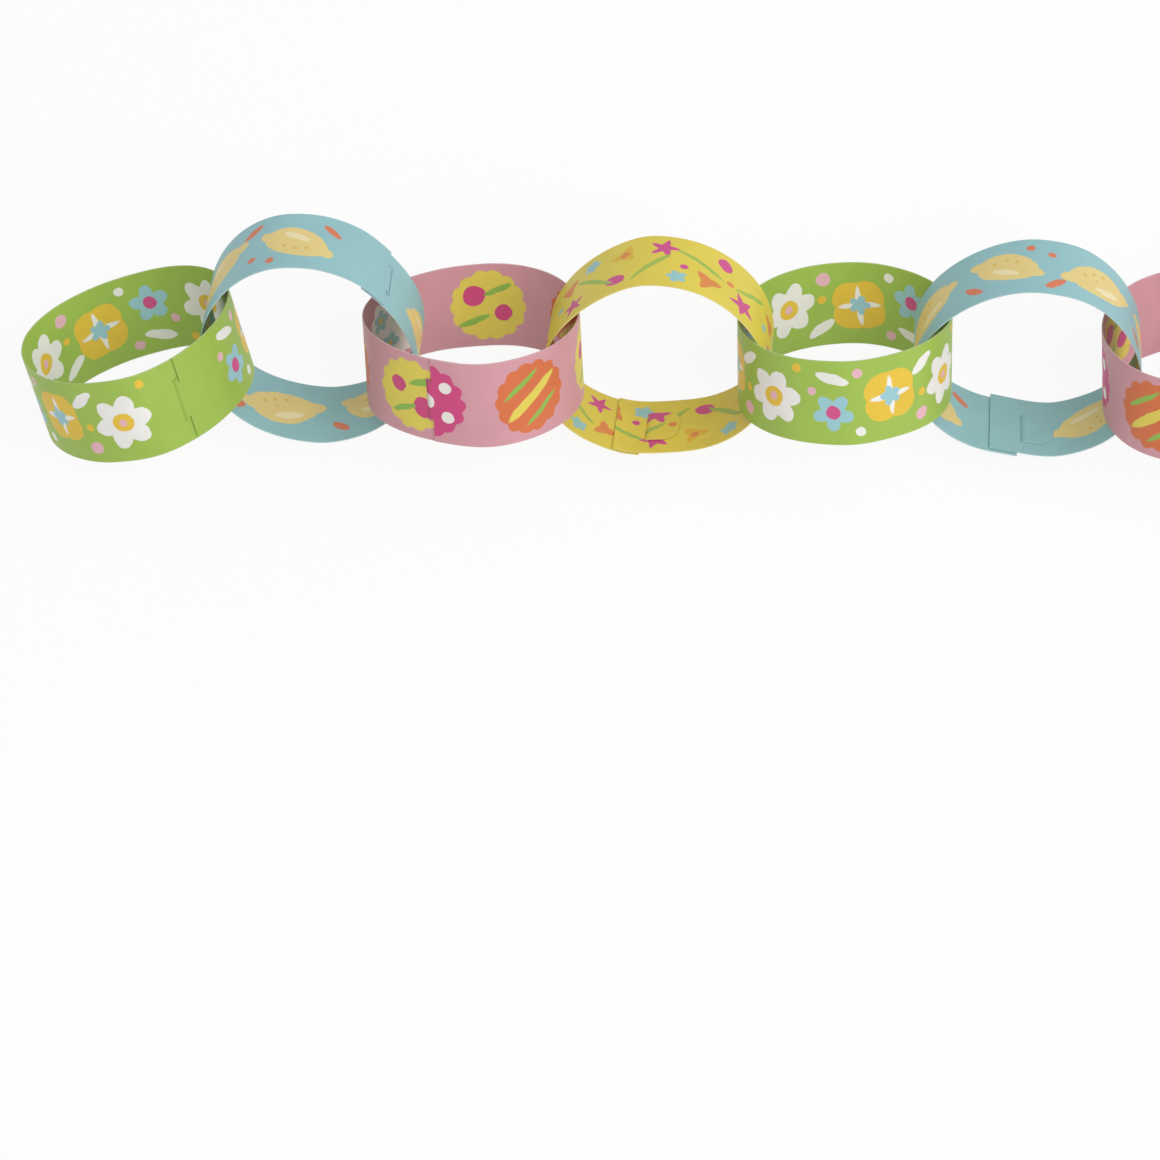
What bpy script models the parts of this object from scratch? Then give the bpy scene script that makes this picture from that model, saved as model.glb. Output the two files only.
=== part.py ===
"""Paper chain garland: seven printed card strips, each closed into a loop through the next.

Every link is one strip of card with a rounded tongue at one end and a cross slot near
the other. The strip is drawn flat, bent round its loop, and closed by passing the tongue
through the slot. The chain lies on a flat surface, its links leaning over by turns to the
back and to the front, and each one is drawn out until it bears on the link before it.
"""

import math

import bmesh
import bpy
import numpy as np
from mathutils import Euler, Vector
from mathutils.bvhtree import BVHTree

# The strip as it is cut, in metres
STRIP_LENGTH = 0.210
STRIP_WIDTH = 0.0266
CARD_THICKNESS = 0.0003

# The tongue at one end and the slot near the other
LAP = 0.0095
TONGUE_LENGTH = 0.0095
TONGUE_WIDTH = 0.0136
TONGUE_CORNER = 0.0048
NECK_LENGTH = 0.0014
RELIEF_DEPTH = 0.0010
RELIEF_WIDTH = 0.0004
SLOT_OPENING = 0.0009
SLOT_CLEARANCE = 0.0003

# How the card lies over itself, and how the links lie on each other
PLY_GAP = 0.0002
MOST_SKEW = 0.0011
SEAT_GAP = 0.0003
START_PITCH = 0.78
FIRST_STEP = 0.0016
LAST_STEP = 0.00001
MOST_STEPS = 60

# How finely the bends are divided
LOOP_FACETS = 64
TONGUE_FACETS = 4
CORNER_FACETS = 5

PLY_STEP = CARD_THICKNESS + PLY_GAP
LOOP_LENGTH = STRIP_LENGTH - LAP - TONGUE_LENGTH
LOOP_DIAMETER = LOOP_LENGTH / math.pi
SLOT_LENGTH = TONGUE_WIDTH + 2 * (MOST_SKEW + SLOT_CLEARANCE)

CARD_ROUGHNESS = 0.45
COLOURS = {
    "green": (0.353, 0.558, 0.060),
    "blue": (0.258, 0.546, 0.591),
    "pink": (0.800, 0.381, 0.406),
    "yellow": (0.847, 0.745, 0.065),
}

# Each link as it was laid down. Across is its place to the side of the chain's line, in loop
# diameters. Lean is the slope of the loop over the surface, plus where its far side is the
# high one. Swing turns it about the upright, and seam is where its slot lies round the loop,
# in degrees. Oval and egg are how far the loop is out of round, as shares of its radius, and
# where that points. Turn is +1 or -1 for the way round that the strip runs, and skew is the
# share of MOST_SKEW by which the plies lie askew.
LINKS = (
    dict(colour="green", across=-0.06, lean=-41, swing=21, seam=283,
         oval=(0.028, 32), egg=(0.030, 23), turn=-1, skew=0.25),
    dict(colour="blue", across=0.09, lean=56.5, swing=-3.5, seam=39,
         oval=(0.034, 143), egg=(0.019, 103), turn=-1, skew=-0.15),
    dict(colour="pink", across=-0.007, lean=-40.5, swing=3, seam=242,
         oval=(0.020, 173), egg=(0.025, 50), turn=-1, skew=0.15),
    dict(colour="yellow", across=0.01, lean=54, swing=-7, seam=268,
         oval=(0.066, 15), egg=(0.028, 95), turn=1, skew=0.2),
    dict(colour="green", across=-0.012, lean=-41, swing=3, seam=5,
         oval=(0.024, 34), egg=(0.010, 93), turn=-1, skew=-0.3),
    dict(colour="blue", across=0.0, lean=55.5, swing=-5, seam=271,
         oval=(0.064, 179), egg=(0.028, 80), turn=1, skew=1.0),
    dict(colour="pink", across=-0.064, lean=-37.5, swing=6.5, seam=300,
         oval=(0.046, 69), egg=(0.007, 119), turn=-1, skew=-0.4),
)


def clear_scene():
    for obj in list(bpy.data.objects):
        bpy.data.objects.remove(obj, do_unlink=True)


def card_material(colour):
    material = bpy.data.materials.new("card_" + colour)
    material.use_nodes = True
    shader = material.node_tree.nodes["Principled BSDF"]
    shader.inputs["Base Color"].default_value = (*COLOURS[colour], 1.0)
    shader.inputs["Roughness"].default_value = CARD_ROUGHNESS
    return material


class Loop:
    """The line that one strip follows round its loop, seen along the loop's axis."""

    SAMPLES = 1440

    def __init__(self, link):
        self.link = link
        angles = np.linspace(0.0, math.tau, self.SAMPLES + 1)
        radii = self.shape(angles)
        line = np.stack((radii * np.cos(angles), radii * np.sin(angles)), axis=1)
        runs = np.concatenate(([0.0], np.linalg.norm(np.diff(line, axis=0), axis=1).cumsum()))
        self.radius = LOOP_LENGTH / runs[-1]
        self.angles = angles
        self.runs = runs * self.radius
        self.start = np.interp(math.radians(link["seam"]), angles, self.runs)

    def shape(self, angle):
        """The radius at an angle, as a share of the mean radius."""
        oval, oval_at = self.link["oval"]
        egg, egg_at = self.link["egg"]
        return (1.0 + oval * np.cos(2 * (angle - math.radians(oval_at)))
                + egg * np.cos(3 * (angle - math.radians(egg_at))))

    def place(self, run, offset):
        """The point this far along the card from its slot line, moved outwards by offset."""
        along = (self.start + self.link["turn"] * run) % LOOP_LENGTH
        angle = float(np.interp(along, self.runs, self.angles))
        radius = self.radius * float(self.shape(angle)) + offset
        return radius * math.cos(angle), radius * math.sin(angle)


def smooth_step(value, low, high):
    share = min(max((value - low) / (high - low), 0.0), 1.0)
    return share * share * (3.0 - 2.0 * share)


def ply_offset(run):
    """How far outside the loop's line the card lies, so that its end covers its start."""
    half_slot = SLOT_OPENING / 2
    if run < LOOP_LENGTH - half_slot:
        rise = smooth_step(run, 2 * TONGUE_LENGTH, LOOP_LENGTH - 2 * LAP)
        return PLY_STEP * (rise - 0.5)
    dip = min((run - LOOP_LENGTH + half_slot) / SLOT_OPENING, 1.0)
    return PLY_STEP * (0.5 - 2.0 * dip)


def tongue_half_width(past_slot):
    """Half the tongue's width this far past the slot line, round at its two corners."""
    half = TONGUE_WIDTH / 2
    into_corner = past_slot - (TONGUE_LENGTH - TONGUE_CORNER)
    if into_corner <= 0:
        return half
    drop = TONGUE_CORNER - math.sqrt(max(TONGUE_CORNER ** 2 - into_corner ** 2, 0.0))
    return half - drop


def full_row(run):
    return run, (-STRIP_WIDTH / 2, STRIP_WIDTH / 2), None


def slot_rows():
    """The two rows at the slot's long edges, with only the card beside it between them."""
    side, slot = STRIP_WIDTH / 2, SLOT_LENGTH / 2
    columns = (-side, -slot, slot, side)
    return [
        (-SLOT_OPENING / 2, columns, ((-side, -slot), (slot, side))),
        (SLOT_OPENING / 2, columns, None),
    ]


def tongue_rows():
    """The shoulders, the relief cuts beside the neck, and the rounded tongue."""
    side, half = STRIP_WIDTH / 2, TONGUE_WIDTH / 2
    neck = half - RELIEF_DEPTH
    shoulder = LOOP_LENGTH - NECK_LENGTH
    rows = [
        (shoulder, (-side, -neck, neck, side), ((-neck, neck),)),
        (shoulder + RELIEF_WIDTH, (-half, -neck, neck, half), None),
    ]
    straight = TONGUE_LENGTH - TONGUE_CORNER
    steps = [-SLOT_OPENING / 2, SLOT_OPENING / 2]
    steps += [SLOT_OPENING / 2 + (straight - SLOT_OPENING / 2) * i / TONGUE_FACETS
              for i in range(1, TONGUE_FACETS + 1)]
    quarter = math.pi / 2
    steps += [straight + TONGUE_CORNER * math.sin(quarter * i / CORNER_FACETS)
              for i in range(1, CORNER_FACETS + 1)]
    for past in steps:
        wide = tongue_half_width(past)
        rows.append((LOOP_LENGTH + past, (-wide, wide), None))
    return rows


def strip_rows():
    """The flat strip as rows across it: (place along it, columns, stretches of card after it)."""
    pitch = LOOP_LENGTH / LOOP_FACETS
    lap_steps = max(round(LAP / pitch), 1)
    lap_rows = [full_row(-LAP + (LAP - SLOT_OPENING / 2) * i / lap_steps) for i in range(lap_steps)]
    first, last = SLOT_OPENING / 2, LOOP_LENGTH - NECK_LENGTH
    body_steps = round((last - first) / pitch)
    body_rows = [full_row(first + (last - first) * i / body_steps) for i in range(1, body_steps)]
    return lap_rows + slot_rows() + body_rows + tongue_rows()


def strip_point(loop, run, across):
    """Where a point of the flat strip comes to lie in its loop, which turns round local Z."""
    x, y = loop.place(run, ply_offset(run))
    drift = loop.link["skew"] * MOST_SKEW * (run / LOOP_LENGTH - 0.5)
    return Vector((x, y, across + drift))


def panels(rows):
    """Each flat piece of card between two rows, as the places of its corners on both."""
    for (near, near_columns, spans), (far, far_columns, _) in zip(rows, rows[1:]):
        stretches = spans or (None,)
        for span in stretches:
            low = [(near, v) for v in near_columns if not span or span[0] <= v <= span[1]]
            high = [(far, v) for v in far_columns if not span or span[0] <= v <= span[1]]
            yield low, high


def bent_strip(name, link):
    """The middle layer of one strip's card, bent and closed."""
    loop = Loop(link)
    bm = bmesh.new()
    corners = {}

    def corner(place):
        if place not in corners:
            corners[place] = bm.verts.new(strip_point(loop, *place))
        return corners[place]

    for low, high in panels(strip_rows()):
        bm.faces.new([corner(place) for place in low + high[::-1]])
    bmesh.ops.recalc_face_normals(bm, faces=bm.faces)
    mesh = bpy.data.meshes.new(name)
    bm.to_mesh(mesh)
    bm.free()
    mesh.shade_smooth()
    return mesh


def rotation(link):
    return Euler((math.radians(link["lean"]), 0.0, math.radians(link["swing"])))


class Placed:
    """A bent strip laid on the surface, ready to be measured against another."""

    ACROSS = 10
    RIM = 6

    def __init__(self, mesh, link, along, across):
        turn = rotation(link).to_matrix()
        corners = [turn @ vertex.co for vertex in mesh.vertices]
        self.location = Vector((along, across, -min(point.z for point in corners)))
        self.corners = [point + self.location for point in corners]
        faces = [tuple(face.vertices) for face in mesh.polygons]
        self.tree = BVHTree.FromPolygons(self.corners, faces)
        self.samples = list(self.sampled(mesh))

    def sampled(self, mesh):
        """Points spaced along every edge of the strip, the rims and the lines across it."""
        for edge in mesh.edges:
            a, b = (self.corners[i] for i in edge.vertices)
            count = self.ACROSS if (a - b).length > STRIP_WIDTH / 2 else self.RIM
            for i in range(count):
                yield a.lerp(b, i / count)

    def clearance(self, other):
        """The gap between the faces of two strips, or nought where they cut each other."""
        if self.tree.overlap(other.tree):
            return 0.0
        nearest = min(
            min(other.tree.find_nearest(point)[3] for point in self.samples),
            min(self.tree.find_nearest(point)[3] for point in other.samples),
        )
        return max(nearest - CARD_THICKNESS, 0.0)


def drawn_out(mesh, link, before):
    """The link drawn away from the one before it until they bear on each other.

    It starts a little nearer than two loops that only just hang in each other, closes up
    while it is too near or moves out while it is free, and halves its steps at each turn.
    """
    across = link["across"] * LOOP_DIAMETER
    along = before.location.x + START_PITCH * LOOP_DIAMETER
    step = FIRST_STEP
    placed = Placed(mesh, link, along, across)
    free = placed.clearance(before) >= SEAT_GAP
    best = placed if free else None
    for _ in range(MOST_STEPS):
        along += step if free else -step
        placed = Placed(mesh, link, along, across)
        now_free = placed.clearance(before) >= SEAT_GAP
        if now_free:
            best = placed
        if now_free != free:
            free, step = now_free, step / 2
        if best and step <= LAST_STEP:
            break
    return best or placed


def lay_chain(meshes):
    """Every link on the surface, each one drawn out against the one before."""
    first = LINKS[0]
    chain = [Placed(meshes[0], first, 0.0, first["across"] * LOOP_DIAMETER)]
    for mesh, link in zip(meshes[1:], LINKS[1:]):
        chain.append(drawn_out(mesh, link, chain[-1]))
    return chain


def make_link(name, mesh, link, placed, material):
    obj = bpy.data.objects.new(name, mesh)
    bpy.context.scene.collection.objects.link(obj)
    obj.location = placed.location
    obj.rotation_euler = rotation(link)
    mesh.materials.append(material)
    card = obj.modifiers.new("card", "SOLIDIFY")
    card.thickness = CARD_THICKNESS
    card.offset = 0.0
    card.use_even_offset = True
    card.use_quality_normals = True
    return obj


def solid_corners(obj):
    graph = bpy.context.evaluated_depsgraph_get()
    evaluated = obj.evaluated_get(graph)
    mesh = evaluated.to_mesh()
    corners = [evaluated.matrix_world @ vertex.co for vertex in mesh.vertices]
    evaluated.to_mesh_clear()
    return corners


def stand_on_surface(links):
    """Puts every link's lowest edge at height nought."""
    bpy.context.view_layer.update()
    for obj in links:
        obj.location.z -= min(corner.z for corner in solid_corners(obj))


def centre_chain(links, garland):
    """Moves the whole chain so that the middle of its footprint is the origin."""
    bpy.context.view_layer.update()
    corners = [corner for obj in links for corner in solid_corners(obj)]
    for axis in (0, 1):
        values = [corner[axis] for corner in corners]
        middle = (min(values) + max(values)) / 2
        garland.location[axis] -= middle


def build():
    clear_scene()
    names = [f"link_{i}_{link['colour']}" for i, link in enumerate(LINKS, 1)]
    meshes = [bent_strip(name, link) for name, link in zip(names, LINKS)]
    chain = lay_chain(meshes)
    materials = {colour: card_material(colour) for colour in COLOURS}
    garland = bpy.data.objects.new("garland", None)
    bpy.context.scene.collection.objects.link(garland)
    links = []
    for name, mesh, link, placed in zip(names, meshes, LINKS, chain):
        obj = make_link(name, mesh, link, placed, materials[link["colour"]])
        obj.parent = garland
        links.append(obj)
    stand_on_surface(links)
    centre_chain(links, garland)


build()
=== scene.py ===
import math

import bmesh
import bpy
import numpy as np
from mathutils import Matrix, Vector, noise


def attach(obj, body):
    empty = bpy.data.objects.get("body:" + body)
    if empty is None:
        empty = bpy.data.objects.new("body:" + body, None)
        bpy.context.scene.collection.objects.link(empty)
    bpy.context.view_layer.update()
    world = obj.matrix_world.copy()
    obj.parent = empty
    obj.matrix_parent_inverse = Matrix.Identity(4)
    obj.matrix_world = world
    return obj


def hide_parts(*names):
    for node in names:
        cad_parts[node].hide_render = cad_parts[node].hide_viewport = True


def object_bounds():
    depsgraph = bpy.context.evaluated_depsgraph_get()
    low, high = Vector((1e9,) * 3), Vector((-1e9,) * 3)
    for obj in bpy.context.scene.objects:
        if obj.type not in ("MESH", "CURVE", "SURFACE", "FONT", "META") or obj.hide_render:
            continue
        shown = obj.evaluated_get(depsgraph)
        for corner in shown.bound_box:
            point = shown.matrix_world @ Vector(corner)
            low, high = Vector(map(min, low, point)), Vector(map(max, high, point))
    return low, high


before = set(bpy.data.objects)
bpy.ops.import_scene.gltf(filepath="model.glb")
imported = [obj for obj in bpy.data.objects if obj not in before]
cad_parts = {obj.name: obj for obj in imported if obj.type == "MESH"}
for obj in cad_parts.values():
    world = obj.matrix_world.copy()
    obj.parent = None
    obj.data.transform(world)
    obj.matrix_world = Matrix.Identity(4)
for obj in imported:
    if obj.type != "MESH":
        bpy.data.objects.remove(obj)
cadBox = [list(corner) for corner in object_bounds()]
print("frame loaded:", len(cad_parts), "strips")


# an sRGB hex colour, turned to the linear values that the shaders take
def linearColour(hexText):
    channels = [int(hexText[i:i + 2], 16) / 255 for i in (1, 3, 5)]
    return [c / 12.92 if c <= 0.04045 else ((c + 0.055) / 1.055) ** 2.4 for c in channels] + [1.0]


# adds a node, its settings, and its inputs: a value, or the node or socket that feeds it
def addNode(tree, kind, inputs=None, **settings):
    node = tree.nodes.new(kind)
    for name, value in settings.items():
        setattr(node, name, value)
    for key, value in (inputs or {}).items():
        if isinstance(value, bpy.types.Node):
            value = value.outputs[0]
        if isinstance(value, bpy.types.NodeSocket):
            tree.links.new(value, node.inputs[key])
        else:
            node.inputs[key].default_value = value
    return node


def newMaterial(name):
    material = bpy.data.materials.new(name)
    material.use_nodes = True
    material.node_tree.nodes.clear()
    return material, material.node_tree


# card cut from one sheet, printed on both sides; lengths in millimetres
card = {
    "mapSpan": 216.0,         # the sheet map covers this much in each direction
    "width": 26.6,
    "inkEdge": 0.16,          # how soft the edge of an ink field is
    "handCut": 0.55,          # how far the fields' outlines stray, as shapes cut by hand do
    "handCutEvery": 4.0,      # and over what length
    "core": "#F3F0E8",        # the card's own colour under its coating
    "edgeCore": "#EDE9DE",    # and where it is cut through
    "edgeInk": 0.85,          # share of the ground colour that shows in the cut edge
    "edgeFibre": 0.25,        # the torn grain of the cut edge
    "fibre": 0.45,            # paper grain, drawn coarser than real fibre so that it shows
    "cloud": 14.0,            # slow drift of the ink's density
    "rubbed": 0.4,            # how far the wear along the cut edges reaches
    "worn": 0.25,             # share of the coating that is gone there
    "grainDepth": 0.04,       # how deep the grain is, as the shaders' bump shows it
    "outOfReach": 500.0,      # this far from the print, where the card stays plain
    "roughness": 0.47,        # satin coated card
    "uneven": 0.42,           # how far hand-bent card strays from a true curve, at the most
    "unevenEvery": 26.0,      # and over what length
    "unevenApart": (31.7, 12.3, 5.9),   # keeps the drift along and the drift across apart
    "slotGap": 0.05,          # left between the slot's ends and the tongue
    "slotNear": 0.9,          # what passes this close to the slot's middle line is the tongue
    "smoothLevels": 2,
    "weld": 0.01,             # corners this close are one
    "sharpBend": 60.0,        # degrees: anything sharper is a cut edge
    "flatWithin": 0.5,        # degrees: faces this level with each other are joined
}

# outlines of the ink fields: the wave round the edge, how many, and how deep
forms = {
    "oval": None,
    "rosette": ("COSINE", 6, 0.34),
    "blossom": ("COSINE", 5, 0.42),
    "scallop": ("COSINE", 14, 0.085),
    "tile": ("COSINE", 4, 0.17),
    "star": ("SINE", 5, 0.56),
    "wedge": ("SINE", 3, 0.52),
}

# each print: its ground colour, its repeat, where along the strip it runs, how far the
# inside is shifted against the outside, and its fields as
# (form, along, across, half length, half width, turn in degrees, ink)
prints = {
    "green": {
        "ground": "#A0C04E", "repeat": 56.0, "from": 17.0, "to": 185.0, "backShift": 0.0,
        "inks": {
            "white": "#F2F0EA", "gold": "#E9C33A", "rose": "#E9B6C0", "sky": "#9BCBD3", "magenta": "#D4508A",
        },
        "fields": [
            ("rosette", 10.0, 0.6, 8.7, 8.7, 12, "white"), ("oval", 10.0, 0.6, 3.1, 3.1, 0, "gold"),
            ("oval", 10.0, 0.6, 1.2, 1.2, 0, "rose"), ("oval", 2.2, -10.2, 1.4, 1.4, 0, "gold"),
            ("oval", 20.8, 8.4, 2.1, 2.1, 0, "rose"), ("oval", 20.6, -7.6, 4.4, 1.6, 34, "white"),
            ("oval", 20.6, 1.6, 1.2, 1.2, 0, "gold"),
            ("tile", 31.5, -0.6, 8.7, 8.7, 51, "gold"), ("oval", 31.5, -0.6, 6.2, 1.0, 6, "white"),
            ("oval", 31.5, -0.6, 1.0, 6.2, 6, "white"), ("blossom", 31.5, -0.6, 3.2, 3.2, 0, "sky"),
            ("oval", 40.4, 9.2, 1.5, 1.5, 0, "white"), ("oval", 41.2, -9.4, 1.5, 1.5, 0, "rose"),
            ("blossom", 48.0, 3.0, 5.9, 5.9, 20, "sky"), ("oval", 48.0, 3.0, 2.1, 2.1, 0, "magenta"),
            ("oval", 48.4, -7.8, 4.8, 1.6, -16, "white"), ("oval", 54.0, -3.4, 1.3, 1.3, 0, "rose"),
        ],
    },
    "blue": {
        "ground": "#94C5CA", "repeat": 56.0, "from": 17.0, "to": 185.0, "backShift": 0.0,
        "inks": {"lemon": "#EBD387", "light": "#F4E6B4", "deep": "#E2BC55", "orange": "#DE7B52"},
        "fields": [
            ("oval", 13.4, 0.4, 10.4, 6.8, 16, "lemon"), ("oval", 23.0, 3.2, 3.4, 2.3, 16, "lemon"),
            ("oval", 3.8, -2.4, 2.9, 2.2, 16, "lemon"), ("oval", 11.0, 2.9, 4.6, 1.3, 20, "light"),
            ("oval", 16.0, -2.6, 0.6, 0.6, 0, "deep"), ("oval", 18.8, -0.4, 0.6, 0.6, 0, "deep"),
            ("oval", 12.4, -3.9, 0.6, 0.6, 0, "deep"), ("oval", 14.8, 0.2, 0.5, 0.5, 0, "deep"),
            ("oval", 27.6, 8.0, 3.6, 1.3, 40, "orange"), ("oval", 28.4, -6.0, 1.3, 1.3, 0, "orange"),
            ("oval", 41.4, -0.6, 9.6, 6.3, -24, "lemon"), ("oval", 49.6, -4.3, 3.1, 2.1, -24, "lemon"),
            ("oval", 33.3, 3.0, 2.7, 2.0, -24, "lemon"), ("oval", 41.6, 2.0, 4.2, 1.2, -24, "light"),
            ("oval", 38.4, -2.4, 0.6, 0.6, 0, "deep"), ("oval", 41.4, -4.0, 0.6, 0.6, 0, "deep"),
            ("oval", 44.8, -3.4, 0.6, 0.6, 0, "deep"),
            ("oval", 51.6, 6.4, 3.4, 1.2, -40, "orange"), ("oval", 34.4, -8.8, 1.3, 1.3, 0, "orange"),
        ],
    },
    "pink": {
        "ground": "#D69BA5", "repeat": 124.0, "from": 0.0, "to": 210.0, "backShift": 46.0,
        "inks": {
            "lemon": "#E5D255", "orange": "#D9703F", "magenta": "#D2447F", "white": "#F3EDE6",
            "sky": "#A3CFCF", "leaf": "#8DBB4A", "mint": "#8FC06C",
        },
        "fields": [
            ("scallop", 15.5, 0.0, 11.4, 11.4, 0, "lemon"), ("oval", 11.4, 3.2, 3.3, 3.3, 0, "magenta"),
            ("oval", 19.8, -2.6, 2.6, 2.6, 0, "magenta"), ("oval", 18.4, 4.9, 4.6, 1.0, 24, "leaf"),
            ("oval", 11.2, -4.9, 4.8, 1.0, 18, "leaf"),
            ("scallop", 46.5, 0.0, 11.4, 11.4, 0, "orange"), ("oval", 46.5, 0.0, 9.7, 1.5, 38, "lemon"),
            ("oval", 43.3, 4.7, 6.4, 0.8, 38, "leaf"), ("oval", 49.9, -4.6, 6.4, 0.8, 38, "leaf"),
            ("scallop", 77.5, 0.0, 11.4, 11.4, 0, "magenta"), ("oval", 77.5, 0.2, 2.2, 2.2, 0, "white"),
            ("oval", 71.6, 4.6, 1.9, 1.9, 0, "white"), ("oval", 83.2, 4.9, 1.9, 1.9, 0, "white"),
            ("oval", 71.9, -4.7, 1.9, 1.9, 0, "white"), ("oval", 83.0, -4.5, 1.9, 1.9, 0, "white"),
            ("oval", 77.4, 8.0, 1.4, 1.4, 0, "white"), ("oval", 77.7, -7.9, 1.4, 1.4, 0, "white"),
            ("scallop", 108.5, 0.0, 11.4, 11.4, 0, "white"), ("blossom", 103.6, 3.6, 3.7, 3.7, 10, "sky"),
            ("blossom", 112.6, 2.4, 3.4, 3.4, 40, "mint"), ("blossom", 107.4, -5.2, 3.6, 3.6, 0, "sky"),
            ("oval", 103.6, 3.6, 1.0, 1.0, 0, "lemon"), ("oval", 107.4, -5.2, 1.0, 1.0, 0, "lemon"),
        ],
    },
    "yellow": {
        "ground": "#E5D145", "repeat": 72.0, "from": 0.0, "to": 210.0, "backShift": 23.0,
        "inks": {
            "magenta": "#D2488C", "orange": "#E28A3C", "sky": "#98CACD", "leaf": "#A3BF48", "deep": "#E6B730",
        },
        "fields": [
            ("oval", 5.5, -3.4, 8.2, 0.9, 34, "leaf"), ("star", 9.0, 5.8, 5.0, 5.0, 12, "magenta"),
            ("oval", 16.5, -7.6, 2.2, 3.1, 20, "magenta"), ("wedge", 21.5, 5.2, 4.6, 4.6, 70, "orange"),
            ("oval", 24.4, -3.2, 8.8, 0.9, -28, "leaf"), ("blossom", 30.5, 7.4, 3.1, 3.1, 0, "sky"),
            ("star", 35.0, -6.8, 4.7, 4.7, 40, "magenta"), ("oval", 38.5, 2.6, 8.4, 0.9, 50, "leaf"),
            ("wedge", 46.5, -5.4, 4.4, 4.4, 10, "deep"), ("oval", 46.5, -5.4, 1.3, 1.3, 0, "orange"),
            ("oval", 48.6, 6.6, 3.3, 2.3, -25, "magenta"), ("oval", 56.0, 1.6, 8.6, 0.9, -42, "leaf"),
            ("blossom", 57.6, -7.8, 3.0, 3.0, 30, "sky"), ("star", 63.2, 7.0, 4.2, 4.2, 64, "magenta"),
            ("wedge", 66.0, -4.4, 4.2, 4.2, 100, "orange"), ("oval", 70.0, 2.2, 1.4, 1.4, 0, "sky"),
            ("oval", 28.8, 1.6, 1.2, 1.2, 0, "magenta"), ("oval", 14.2, 0.2, 1.3, 1.3, 0, "orange"),
        ],
    },
}


# 1 inside an ink field, 0 outside it, with the soft edge that ink has on coated card
def inkField(tree, place, form, along, across, halfLength, halfWidth, turn):
    local = addNode(tree, "ShaderNodeMapping", {
        "Vector": place, "Location": (along, across, 0), "Rotation": (0, 0, math.radians(turn)),
        "Scale": (halfLength, halfWidth, 1)}, vector_type="TEXTURE")
    reach = addNode(tree, "ShaderNodeVectorMath", {0: local}, operation="LENGTH").outputs["Value"]
    if forms[form]:
        wave, count, depth = forms[form]
        parts = addNode(tree, "ShaderNodeSeparateXYZ", {0: local})
        angle = addNode(tree, "ShaderNodeMath", {
            0: parts.outputs["Y"], 1: parts.outputs["X"]}, operation="ARCTAN2")
        phase = addNode(tree, "ShaderNodeMath", {0: angle, 1: count / 2}, operation="MULTIPLY")
        swell = addNode(tree, "ShaderNodeMath", {0: phase}, operation=wave)
        swell = addNode(tree, "ShaderNodeMath", {0: swell}, operation="ABSOLUTE")
        low, rise = (1 - depth, depth) if wave == "COSINE" else (1.0, -depth)
        edge = addNode(tree, "ShaderNodeMath", {0: swell, 1: rise, 2: low}, operation="MULTIPLY_ADD")
        reach = addNode(tree, "ShaderNodeMath", {0: reach, 1: edge}, operation="DIVIDE")
    soft = card["inkEdge"] / min(halfLength, halfWidth)
    return addNode(tree, "ShaderNodeMapRange", {
        "Value": reach, "From Min": 1 + soft / 2, "From Max": 1 - soft / 2, "To Min": 0.0, "To Max": 1.0})


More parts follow.
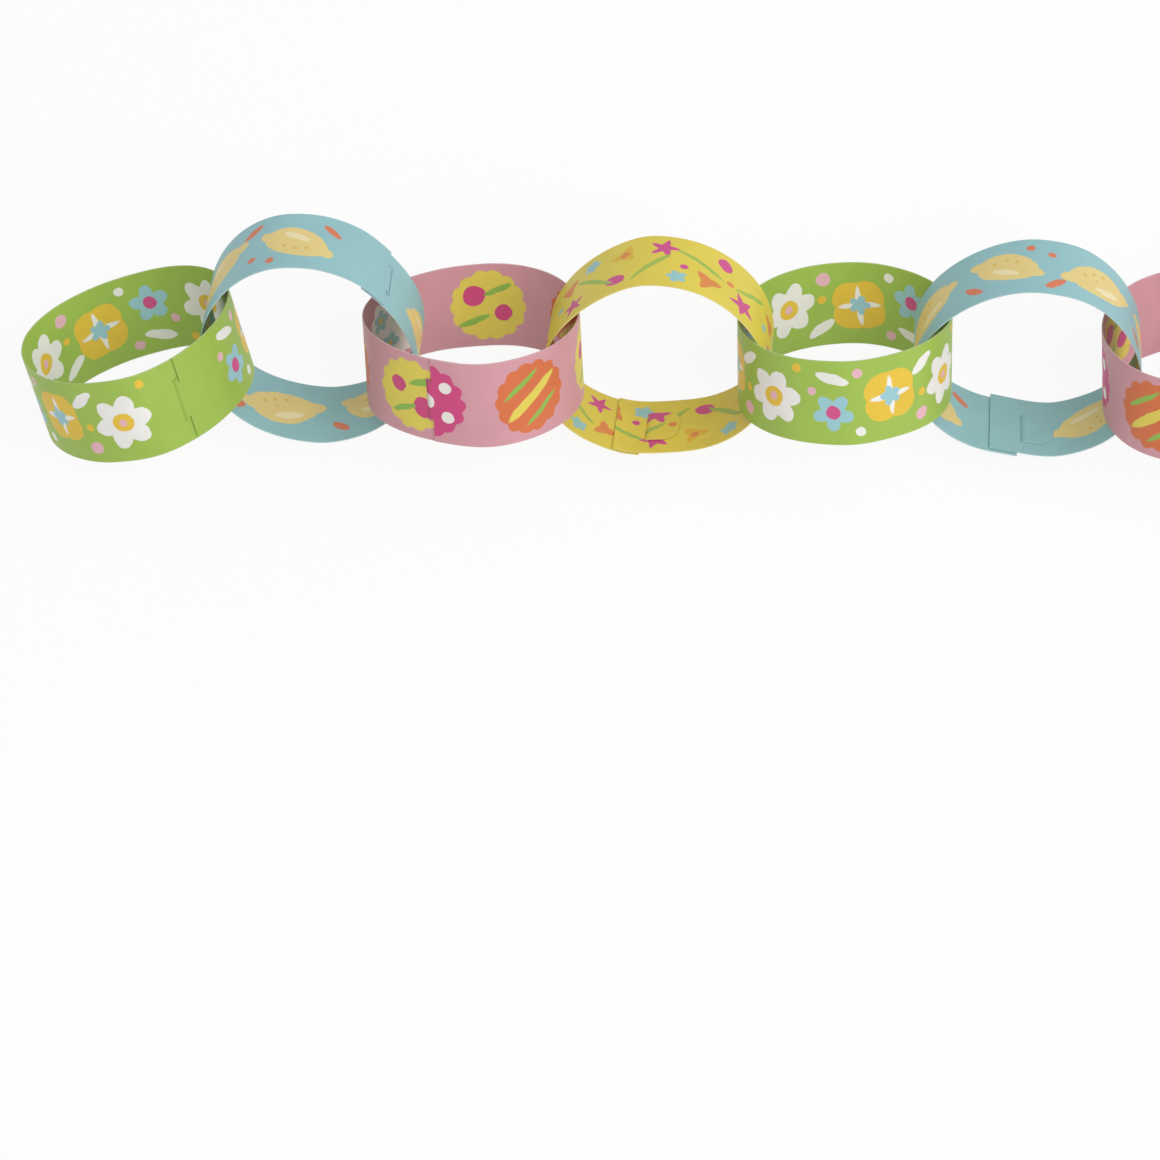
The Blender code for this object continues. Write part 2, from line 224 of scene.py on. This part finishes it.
# satin coated card, offset printed: flat fields of ink, a dull even sheen, and at the cut
# edges a thin rubbed line where the white core starts to show
def printedCard(colour):
    look = prints[colour]
    material, tree = newMaterial("printedCard_" + colour)
    sheet = addNode(tree, "ShaderNodeUVMap", uv_map="flatSheet")
    scaled = addNode(tree, "ShaderNodeVectorMath", {0: sheet, 1: (card["mapSpan"], 2, 1)}, operation="MULTIPLY")
    parts = addNode(tree, "ShaderNodeSeparateXYZ", {0: scaled})
    side = addNode(tree, "ShaderNodeMath", {0: parts.outputs["Y"]}, operation="FLOOR")
    half = addNode(tree, "ShaderNodeMath", {0: parts.outputs["Y"]}, operation="FRACT")
    across = addNode(tree, "ShaderNodeMath", {
        0: half, 1: card["mapSpan"] / 2, 2: -card["mapSpan"] / 4}, operation="MULTIPLY_ADD")
    run = parts.outputs["X"]
    shifted = addNode(tree, "ShaderNodeMath", {
        0: side, 1: look["backShift"], 2: run}, operation="MULTIPLY_ADD")
    along = addNode(tree, "ShaderNodeMath", {0: shifted, 1: look["from"]}, operation="SUBTRACT")
    along = addNode(tree, "ShaderNodeMath", {0: along, 1: look["repeat"]}, operation="FLOORED_MODULO")
    # the strip's ends, where it closes on itself, keep the plain ground: there the fields
    # are out of reach
    middle, reach = (look["from"] + look["to"]) / 2, (look["to"] - look["from"]) / 2
    inPrint = addNode(tree, "ShaderNodeMath", {0: run, 1: middle, 2: reach}, operation="COMPARE")
    away = addNode(tree, "ShaderNodeMath", {
        0: inPrint, 1: -card["outOfReach"], 2: card["outOfReach"]}, operation="MULTIPLY_ADD")
    beside = addNode(tree, "ShaderNodeMath", {0: across, 1: away}, operation="ADD")
    place = addNode(tree, "ShaderNodeCombineXYZ", {0: along, 1: beside})
    spot = addNode(tree, "ShaderNodeCombineXYZ", {0: shifted, 1: across, 2: side})
    stray = addNode(tree, "ShaderNodeTexNoise", {
        "Vector": spot, "Scale": 1 / card["handCutEvery"], "Detail": 1.0})
    stray = addNode(tree, "ShaderNodeVectorMath", {
        0: stray.outputs["Color"], 1: (0.5, 0.5, 0.5)}, operation="SUBTRACT")
    place = addNode(tree, "ShaderNodeVectorMath", {
        0: stray, 1: (card["handCut"] * 2, card["handCut"] * 2, 0), 2: place}, operation="MULTIPLY_ADD")

    ink = linearColour(look["ground"])
    for form, at, off, halfLength, halfWidth, turn, name in look["fields"]:
        mask = inkField(tree, place, form, at, off, halfLength, halfWidth, turn)
        ink = addNode(tree, "ShaderNodeMix", {
            "Factor": mask, 6: ink, 7: linearColour(look["inks"][name])}, data_type="RGBA").outputs["Result"]

    # ink density drifts a little over the sheet, and the fibres break it up finely
    cloud = addNode(tree, "ShaderNodeTexNoise", {"Vector": spot, "Scale": 1 / card["cloud"], "Detail": 2.0})
    fibre = addNode(tree, "ShaderNodeTexNoise", {"Vector": spot, "Scale": 1 / card["fibre"], "Detail": 3.0})
    density = addNode(tree, "ShaderNodeMapRange", {
        "Value": cloud, "From Min": 0.3, "From Max": 0.7, "To Min": 0.96, "To Max": 1.03})
    grain = addNode(tree, "ShaderNodeMapRange", {
        "Value": fibre, "From Min": 0.25, "From Max": 0.75, "To Min": 0.975, "To Max": 1.025})
    tone = addNode(tree, "ShaderNodeMath", {0: density, 1: grain}, operation="MULTIPLY")
    inked = addNode(tree, "ShaderNodeVectorMath", {0: ink, "Scale": tone}, operation="SCALE")

    # wear: the coating is rubbed thin in a narrow broken line along both long edges
    toEdge = addNode(tree, "ShaderNodeMath", {0: across}, operation="ABSOLUTE")
    near = addNode(tree, "ShaderNodeMapRange", {
        "Value": toEdge, "From Min": card["width"] / 2 - card["rubbed"], "From Max": card["width"] / 2})
    patchy = addNode(tree, "ShaderNodeMapRange", {"Value": fibre, "From Min": 0.4, "From Max": 0.62})
    rubbed = addNode(tree, "ShaderNodeMath", {0: near, 1: patchy}, operation="MULTIPLY")
    rubbed = addNode(tree, "ShaderNodeMath", {0: rubbed, 1: card["worn"]}, operation="MULTIPLY")
    surface = addNode(tree, "ShaderNodeMix", {
        "Factor": rubbed, 6: inked, 7: linearColour(card["core"])}, data_type="RGBA")

    dull = addNode(tree, "ShaderNodeMapRange", {
        "Value": fibre, "From Min": 0.3, "From Max": 0.7,
        "To Min": card["roughness"] - 0.03, "To Max": card["roughness"] + 0.05})
    bump = addNode(tree, "ShaderNodeBump", {
        "Height": fibre, "Strength": 0.35, "Distance": card["grainDepth"] / 1000})
    shader = addNode(tree, "ShaderNodeBsdfPrincipled", {
        "Base Color": surface.outputs["Result"], "Roughness": dull, "Normal": bump, "IOR": 1.5})
    addNode(tree, "ShaderNodeOutputMaterial", {"Surface": shader})
    return material


# the card where the knife went through: a pale uncoated core, stained by the ink of both sides
def cutEdge(colour):
    material, tree = newMaterial("cutCardEdge_" + colour)
    core, ink = linearColour(card["edgeCore"]), linearColour(prints[colour]["ground"])
    stained = [c + (i - c) * card["edgeInk"] for c, i in zip(core, ink)]
    spot = addNode(tree, "ShaderNodeTexCoord")
    fibre = addNode(tree, "ShaderNodeTexNoise", {
        "Vector": spot.outputs["Object"], "Scale": 1000 / card["edgeFibre"], "Detail": 2.0})
    torn = addNode(tree, "ShaderNodeMapRange", {
        "Value": fibre, "From Min": 0.45, "From Max": 0.8, "To Max": 0.5})
    tone = addNode(tree, "ShaderNodeMix", {"Factor": torn, 6: stained, 7: core}, data_type="RGBA")
    bump = addNode(tree, "ShaderNodeBump", {
        "Height": fibre, "Strength": 0.4, "Distance": card["grainDepth"] / 1000})
    shader = addNode(tree, "ShaderNodeBsdfPrincipled", {
        "Base Color": tone.outputs["Result"], "Roughness": 0.85, "Normal": bump, "IOR": 1.5})
    addNode(tree, "ShaderNodeOutputMaterial", {"Surface": shader})
    return material


cardLooks = {colour: printedCard(colour) for colour in prints}
edgeLooks = {colour: cutEdge(colour) for colour in prints}
print("card printed:", ", ".join(prints))


# the strip's cut edges, and the faces of its two sides, which only cut edges part from the rest
def sidesOf(bm):
    isCut = {e for e in bm.edges if e.calc_face_angle(0.0) > math.radians(card["sharpBend"])}
    left, patches = set(bm.faces), []
    while left:
        first = min(left, key=lambda f: f.index)
        patch, waiting = {first}, [first]
        while waiting:
            for edge in waiting.pop().edges:
                reached = [f for f in edge.link_faces if f not in patch] if edge not in isCut else []
                patch.update(reached)
                waiting.extend(reached)
        left -= patch
        patches.append(patch)
    patches.sort(key=lambda patch: -sum(f.calc_area() for f in patch))
    return isCut, patches[:2]


# the rings of vertices that a set of edges makes, the shortest first
def ringsOf(edges):
    left, rings = set(edges), []
    while left:
        ring, waiting = set(), [left.pop()]
        while waiting:
            for vert in waiting.pop().verts:
                ring.add(vert)
                joined = [e for e in vert.link_edges if e in left]
                left.difference_update(joined)
                waiting.extend(joined)
        rings.append(ring)
    return sorted(rings, key=len)


# the slot is cut longer than the tongue is wide: its ends are drawn in to the tongue here, so
# that the table doesn't show beside it; gives the slot's own line, which is the loop's axis
def closeSlot(node, bm, isCut, sides):
    holes = [ringsOf(isCut & {e for f in faces for e in f.edges})[0] for faces in sides]
    rim = holes[0] | holes[1]
    points = np.array([tuple(v.co) for v in bm.verts if v in rim])
    middle = points.mean(axis=0)
    line = np.linalg.svd(points - middle, full_matrices=False)[2][0]
    reach = np.abs((points - middle) @ line).max()
    tongue = []
    for vert in bm.verts:
        off = np.array(vert.co) - middle
        t = off @ line
        near = np.linalg.norm(off - t * line) * 1000 < card["slotNear"]
        if near and abs(t) < reach and vert not in rim:
            tongue.append(t)
    gap = card["slotGap"] / 1000
    for vert in rim:
        t = (np.array(vert.co) - middle) @ line
        if abs(t) > reach * 0.9:
            end = max(tongue) + gap if t > 0 else min(tongue) - gap
            vert.co += Vector(line * (end - t))
    print("  {} slot: reach {:.2f} mm, tongue {:.2f} to {:.2f} mm".format(
        node, reach * 1000, min(tongue) * 1000, max(tongue) * 1000))
    return Vector(line)


# lays one side of the bent strip out flat, face after face, and gives each face's corners
# in metres
def laidFlat(first, faces):
    def corners(face, start, end, flatStart, flatEnd):
        ex = (end - start).normalized()
        ey = face.normal.cross(ex)
        fx = (flatEnd - flatStart).normalized()
        fy = Vector((-fx.y, fx.x))
        return {v: flatStart + fx * (v.co - start).dot(ex) + fy * (v.co - start).dot(ey)
                for v in face.verts}

    a, b = first.verts[0].co, first.verts[1].co
    flat = {first: corners(first, a, b, Vector((0, 0)), Vector(((b - a).length, 0)))}
    waiting = [first]
    while waiting:
        face = waiting.pop(0)
        for edge in face.edges:
            for other in edge.link_faces:
                if other in faces and other not in flat:
                    p, q = edge.verts
                    flat[other] = corners(other, p.co, q.co, flat[face][p], flat[face][q])
                    waiting.append(other)
    return flat


# turns the flat side so that it runs from its square end to its tongue, and centres it
def squaredUp(flat):
    points = np.array([tuple(p) for face in flat.values() for p in face.values()])
    middle = points.mean(axis=0)
    run = np.linalg.svd(points - middle, full_matrices=False)[2][0]
    off = np.array((-run[1], run[0]))
    s, v = (points - middle) @ run, (points - middle) @ off
    tip = np.ptp(s) * 0.01
    if np.ptp(v[s < s.min() + tip]) < np.ptp(v[s > s.max() - tip]):
        run, off, s, v = -run, -off, -s, -v
    start, centre = s.min(), (v.min() + v.max()) / 2

    def turned(p):
        fromMiddle = np.array(p) - middle
        return float(fromMiddle @ run - start), float(fromMiddle @ off - centre)

    size = (np.ptp(s) * 1000, np.ptp(v) * 1000)
    return size, {face: {vert: turned(p) for vert, p in places.items()} for face, places in flat.items()}


# soft kinks, left by the hand that closed each strip: each is a line across the band, so the
# card bends only one way there; (wall, place, reach, depth), where wall -1 is the one nearer to
# the camera, the place runs along the chain from the loop's middle, and a depth is inwards;
# all lie between the neighbours, so none comes nearer to another strip
kinks = {
    "link_1_green": [(-1, 4.0, 9.0, -0.45), (-1, -9.0, 7.0, 0.35), (1, -3.0, 10.0, 0.4)],
    "link_2_blue": [(-1, -2.0, 9.0, -0.35), (1, 9.0, 8.0, -0.45), (1, -8.0, 8.0, 0.3)],
    "link_3_pink": [(-1, -6.0, 8.0, 0.4), (-1, 8.0, 8.0, -0.4), (1, 2.0, 9.0, 0.35)],
    "link_4_yellow": [(-1, 5.0, 9.0, 0.4), (-1, -9.0, 7.0, -0.3), (1, -5.0, 9.0, -0.45)],
    "link_5_green": [(-1, -7.0, 8.0, -0.4), (-1, 6.0, 9.0, 0.45), (1, 1.0, 10.0, -0.35)],
    "link_6_blue": [(-1, -6.0, 8.0, 0.45), (-1, 8.0, 8.0, -0.55), (1, 6.0, 9.0, 0.35)],
    "link_7_pink": [(-1, -5.0, 9.0, -0.4), (1, 7.0, 8.0, 0.4)],
}


# bends the strip at its kinks; all its plies move alike, so its lap stays shut
def kinked(node, bm, axis, centre):
    along = (Vector((1, 0, 0)) - axis * axis.x).normalized()
    away = axis.cross(along)
    if away.y < 0:
        away.negate()
    for vert in bm.verts:
        offset = vert.co - centre
        at, wall = offset.dot(along) * 1000, 1 if offset.dot(away) > 0 else -1
        for side, place, reach, depth in kinks[node]:
            if side == wall:
                vert.co -= away * (side * depth / 1000 * max(0.0, 1 - abs(at - place) / reach))


# the whole chain shares one slow drift in the level plane, so what lies close stays as close;
# it comes from the noise that has no seed, so it is the same in each run
def handBent(place):
    spot, most = place * 1000 / card["unevenEvery"], card["uneven"] / 1000
    low, high = cadBox
    return Vector((
        min(max(place.x + noise.noise(spot) * most, low[0]), high[0]),
        min(max(place.y + noise.noise(spot + Vector(card["unevenApart"])) * most, low[1]), high[1]),
        min(max(place.z, low[2]), high[2])))


# one strip of card: the CAD strip's own shape, made smooth, with both its sides laid out
# on the sheet
def smoothStrip(node, source, colour):
    bm = bmesh.new()
    bm.from_mesh(source.data)
    crease = bm.edges.layers.float.new("crease_edge")
    sheet = bm.loops.layers.uv.new("flatSheet")
    bmesh.ops.remove_doubles(bm, verts=bm.verts, dist=card["weld"] / 1000)
    bm.normal_update()
    sides = sidesOf(bm)[1]
    inSide = sides[0] | sides[1]
    rim = [f for f in bm.faces if f not in inSide]
    within = [e for e in bm.edges if all(f in inSide for f in e.link_faces)]
    flatWithin = math.radians(card["flatWithin"])
    bmesh.ops.dissolve_limit(bm, angle_limit=flatWithin, verts=[], edges=within)
    bmesh.ops.join_triangles(
        bm, faces=rim, angle_face_threshold=2 * flatWithin, angle_shape_threshold=math.pi)
    bm.normal_update()
    bm.faces.index_update()
    isCut, sides = sidesOf(bm)
    for edge in bm.edges:
        edge[crease] = 1.0 if edge in isCut else 0.0
        edge.smooth = edge not in isCut
    for face in bm.faces:
        face.smooth = True
        face.material_index = 1
    axis = closeSlot(node, bm, isCut, sides)

    centre = sum((v.co for v in bm.verts), Vector()) / len(bm.verts)
    for faces in sides:
        first = max(faces, key=lambda f: (round(f.calc_area(), 9), -f.index))
        size, flat = squaredUp(laidFlat(first, faces))
        outward = sum((f.calc_center_median() - centre).dot(f.normal) * f.calc_area() for f in faces) > 0
        middle = 0.25 if outward else 0.75
        for face in faces:
            face.material_index = 0
            for loop in face.loops:
                s, v = flat[face][loop.vert]
                loop[sheet].uv = (s * 1000 / card["mapSpan"], middle + v * 1000 / card["mapSpan"])
        print("  {} {}: {:.1f} x {:.1f} mm, {} faces".format(
            node, "outside" if outward else "inside", *size, len(faces)))

    kinked(node, bm, axis, centre)
    for vert in bm.verts:
        vert.co = handBent(vert.co)
    mesh = bpy.data.meshes.new("strip_" + node)
    bm.to_mesh(mesh)
    bm.free()
    mesh.materials.append(cardLooks[colour])
    mesh.materials.append(edgeLooks[colour])
    piece = bpy.data.objects.new("strip_" + node, mesh)
    bpy.context.scene.collection.objects.link(piece)
    smooth = piece.modifiers.new("evenBend", "SUBSURF")
    smooth.levels = smooth.render_levels = card["smoothLevels"]
    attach(piece, "root")
    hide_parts(node)


for node, source in sorted(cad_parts.items()):
    smoothStrip(node, source, node.split("_")[-1])
print("strips bent and closed")


# a white table top in a softly lit room, seen from above
studio = {
    "floorSize": 8.0,
    "floorDrop": 0.00005,      # the top lies this far under the card, so that they don't mix
    "floorColour": "#F4F4F3",
    "floorWhite": 0.9,         # share of plain white that the camera sees in the floor
    "ambient": 0.58,
    "keyPower": 15.4,
    "keySize": 1.4,
    "keyPlace": (0.78, -0.35, 1.48),
}


# 1 where the camera sees the white itself, also in a gloss or through a clear piece
def seenPlainly(tree):
    path = addNode(tree, "ShaderNodeLightPath")
    seen = addNode(tree, "ShaderNodeMath", {
        0: path.outputs["Is Camera Ray"], 1: path.outputs["Is Glossy Ray"]}, operation="ADD")
    return addNode(tree, "ShaderNodeMath", {
        0: seen, 1: path.outputs["Is Transmission Ray"]}, operation="ADD", use_clamp=True)


# the white table top, which keeps the garland's soft shadow
bpy.ops.mesh.primitive_plane_add(size=studio["floorSize"], location=(0, 0, -studio["floorDrop"]))
floor = bpy.context.object
floor.name = "table"
whiteTable, tree = newMaterial("whiteTable")
seen = seenPlainly(tree)
share = addNode(tree, "ShaderNodeMath", {0: seen, 1: studio["floorWhite"]}, operation="MULTIPLY")
board = addNode(tree, "ShaderNodeBsdfDiffuse", {"Color": linearColour(studio["floorColour"])})
white = addNode(tree, "ShaderNodeEmission", {"Color": (1, 1, 1, 1), "Strength": 1.0})
both = addNode(tree, "ShaderNodeMixShader", {0: share, 1: board, 2: white})
addNode(tree, "ShaderNodeOutputMaterial", {"Surface": both})
floor.data.materials.append(whiteTable)

# the room's even light
world = bpy.data.worlds.new("softRoom")
bpy.context.scene.world = world
world.use_nodes = True
tree = world.node_tree
tree.nodes.clear()
seen = seenPlainly(tree)
room = addNode(tree, "ShaderNodeBackground", {"Color": (1, 1, 1, 1), "Strength": studio["ambient"]})
white = addNode(tree, "ShaderNodeBackground", {"Color": (1, 1, 1, 1), "Strength": 1.0})
both = addNode(tree, "ShaderNodeMixShader", {0: seen, 1: room, 2: white})
addNode(tree, "ShaderNodeOutputWorld", {"Surface": both})

# one large soft lamp, high on the right
lamp = bpy.data.lights.new("softbox", "AREA")
lamp.energy = studio["keyPower"]
lamp.size = studio["keySize"]
softbox = bpy.data.objects.new("softbox", lamp)
softbox.location = studio["keyPlace"]
softbox.rotation_euler = (-Vector(studio["keyPlace"])).to_track_quat("-Z", "Y").to_euler()
bpy.context.scene.collection.objects.link(softbox)

# the camera looks down at the photo's angle
view = {"lens": 142.6, "sensor": 36.0, "place": (-0.0248, -0.4662, 1.2578), "tilt": 18.0}
lens = bpy.data.cameras.new("camera")
lens.lens = view["lens"]
lens.sensor_width = view["sensor"]
lens.clip_start = 0.01
camera = bpy.data.objects.new("camera", lens)
camera.location = view["place"]
camera.rotation_euler = (math.radians(view["tilt"]), 0, 0)
bpy.context.scene.collection.objects.link(camera)
bpy.context.scene.camera = camera
bpy.context.scene.view_settings.view_transform = "Standard"
print("table, light and camera set")
